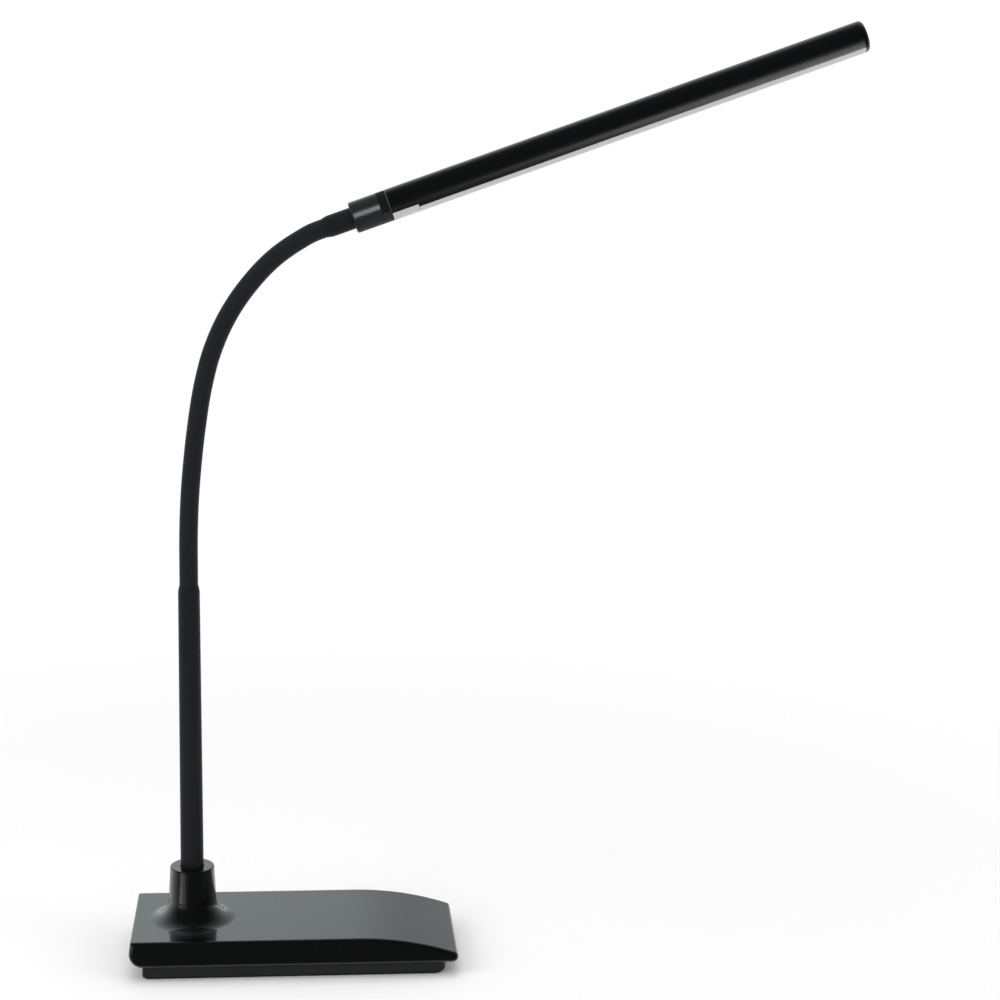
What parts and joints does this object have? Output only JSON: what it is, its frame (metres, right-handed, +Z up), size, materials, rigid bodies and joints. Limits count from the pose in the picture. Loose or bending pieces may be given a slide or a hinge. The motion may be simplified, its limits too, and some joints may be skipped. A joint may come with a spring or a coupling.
{
  "type": "gooseneck desk lamp",
  "caption": "Slim black desk lamp with a weighted rectangular base, flared socket, straight lower stem, bendable neck and tubular LED bar head.",
  "frame": {"origin": "centre of the base footprint, on the surface that the lamp stands on", "axes": "+Z up, +X from the stem towards the head along the base, +Y to the back, where the power inlet is"},
  "size_m": [0.4197, 0.0823, 0.5504],
  "materials": {
    "cover_plastic": "glossy black moulding",
    "tray_plastic": "matte black moulding",
    "cast_ballast": "rough cast, grey",
    "pad_foam": "matte black foam rubber",
    "zinc_steel": "zinc plated",
    "jack_plastic": "black",
    "circuit_board": "green solder mask",
    "copper": "bare copper colour",
    "lead_jacket": "satin insulation",
    "stem_paint": "satin black paint",
    "neck_rubber": "matte black sleeve",
    "core_steel": "turned steel",
    "ferrule_paint": "satin black paint",
    "adapter_plastic": "glossy black moulding",
    "shell_plastic": "satin black moulding",
    "tube_aluminium": "black anodised, satin",
    "opal_plastic": "translucent opal",
    "block_plastic": "opaque pale grey",
    "board_aluminium": "white solder mask",
    "led_phosphor": "yellow phosphor",
    "cap_plastic": "semi-gloss black moulding"
  },
  "bodies": {
    "base": {"base_cover": "cover_plastic", "base_tray": "tray_plastic", "ballast_weight": "cast_ballast", "non_slip_pad": "pad_foam", "cover_screws": "zinc_steel", "power_jack": "jack_plastic", "driver_board": "circuit_board", "board_screws": "zinc_steel", "touch_electrode": "copper", "contact_spring": "zinc_steel", "base_leads": "lead_jacket", "stem_tube": "stem_paint", "stem_nipple": "zinc_steel", "stem_washer": "zinc_steel", "stem_lock_nut": "zinc_steel", "neck_sleeve_1": "neck_rubber", "neck_core_1": "core_steel"},
    "neck_2": {"neck_sleeve_2": "neck_rubber", "neck_core_2": "core_steel"},
    "neck_3": {"neck_sleeve_3": "neck_rubber", "neck_core_3": "core_steel"},
    "neck_4": {"neck_sleeve_4": "neck_rubber", "neck_core_4": "core_steel"},
    "neck_5": {"neck_sleeve_5": "neck_rubber", "neck_core_5": "core_steel"},
    "neck_6": {"neck_sleeve_6": "neck_rubber", "neck_core_6": "core_steel"},
    "neck_7": {"neck_sleeve_7": "neck_rubber", "neck_core_7": "core_steel"},
    "neck_8": {"neck_sleeve_8": "neck_rubber", "neck_core_8": "core_steel"},
    "neck_9": {"neck_sleeve_9": "neck_rubber", "neck_core_9": "core_steel"},
    "neck_10": {"neck_sleeve_10": "neck_rubber", "neck_core_10": "core_steel"},
    "neck_11": {"neck_sleeve_11": "neck_rubber", "neck_core_11": "core_steel"},
    "head": {"neck_sleeve_12": "neck_rubber", "neck_core_12": "core_steel", "head_ferrule": "ferrule_paint", "head_adapter": "adapter_plastic", "adapter_lower_shell": "shell_plastic", "adapter_set_screw": "zinc_steel", "head_tube": "tube_aluminium", "diffuser": "opal_plastic", "diffuser_end_block": "block_plastic", "led_board": "board_aluminium", "led_chips": "led_phosphor", "head_leads": "lead_jacket", "end_cap": "cap_plastic"}
  },
  "joints": [
    {"name": "neck_bend_1", "type": "hinge", "parent": "base", "child": "neck_2", "pos_m": [-0.06, 0, 0.23475], "axis": [0, 1, 0], "range_deg": [-20, 12]},
    {"name": "neck_sway_2", "type": "hinge", "parent": "neck_2", "child": "neck_3", "pos_m": [-0.05981, 0, 0.25625], "axis": [0.9998, 0, -0.0175], "range_deg": [-15, 15]},
    {"name": "neck_bend_3", "type": "hinge", "parent": "neck_3", "child": "neck_4", "pos_m": [-0.05887, 0, 0.27773], "axis": [0, 1, 0], "range_deg": [-20, 12]},
    {"name": "neck_bend_4", "type": "hinge", "parent": "neck_4", "child": "neck_5", "pos_m": [-0.057, 0, 0.29914], "axis": [0, 1, 0], "range_deg": [-20, 12]},
    {"name": "neck_sway_5", "type": "hinge", "parent": "neck_5", "child": "neck_6", "pos_m": [-0.05438, 0, 0.32048], "axis": [0.9903, 0, -0.1392], "range_deg": [-15, 15]},
    {"name": "neck_bend_6", "type": "hinge", "parent": "neck_6", "child": "neck_7", "pos_m": [-0.05083, 0, 0.34168], "axis": [0, 1, 0], "range_deg": [-24, 10]},
    {"name": "neck_bend_7", "type": "hinge", "parent": "neck_7", "child": "neck_8", "pos_m": [-0.04527, 0, 0.36244], "axis": [0, 1, 0], "range_deg": [-28, 8]},
    {"name": "neck_sway_8", "type": "hinge", "parent": "neck_8", "child": "neck_9", "pos_m": [-0.03654, 0, 0.38205], "axis": [0.8746, 0, -0.4848], "range_deg": [-15, 15]},
    {"name": "neck_bend_9", "type": "hinge", "parent": "neck_9", "child": "neck_10", "pos_m": [-0.02453, 0, 0.39985], "axis": [0, 1, 0], "range_deg": [-30, 6]},
    {"name": "neck_sway_10", "type": "hinge", "parent": "neck_10", "child": "neck_11", "pos_m": [-0.00975, 0, 0.41543], "axis": [0.6691, 0, -0.7431], "range_deg": [-15, 15]},
    {"name": "neck_bend_11", "type": "hinge", "parent": "neck_11", "child": "head", "pos_m": [0.00792, 0, 0.42758], "axis": [0, 1, 0], "range_deg": [-26, 6]}
  ]
}
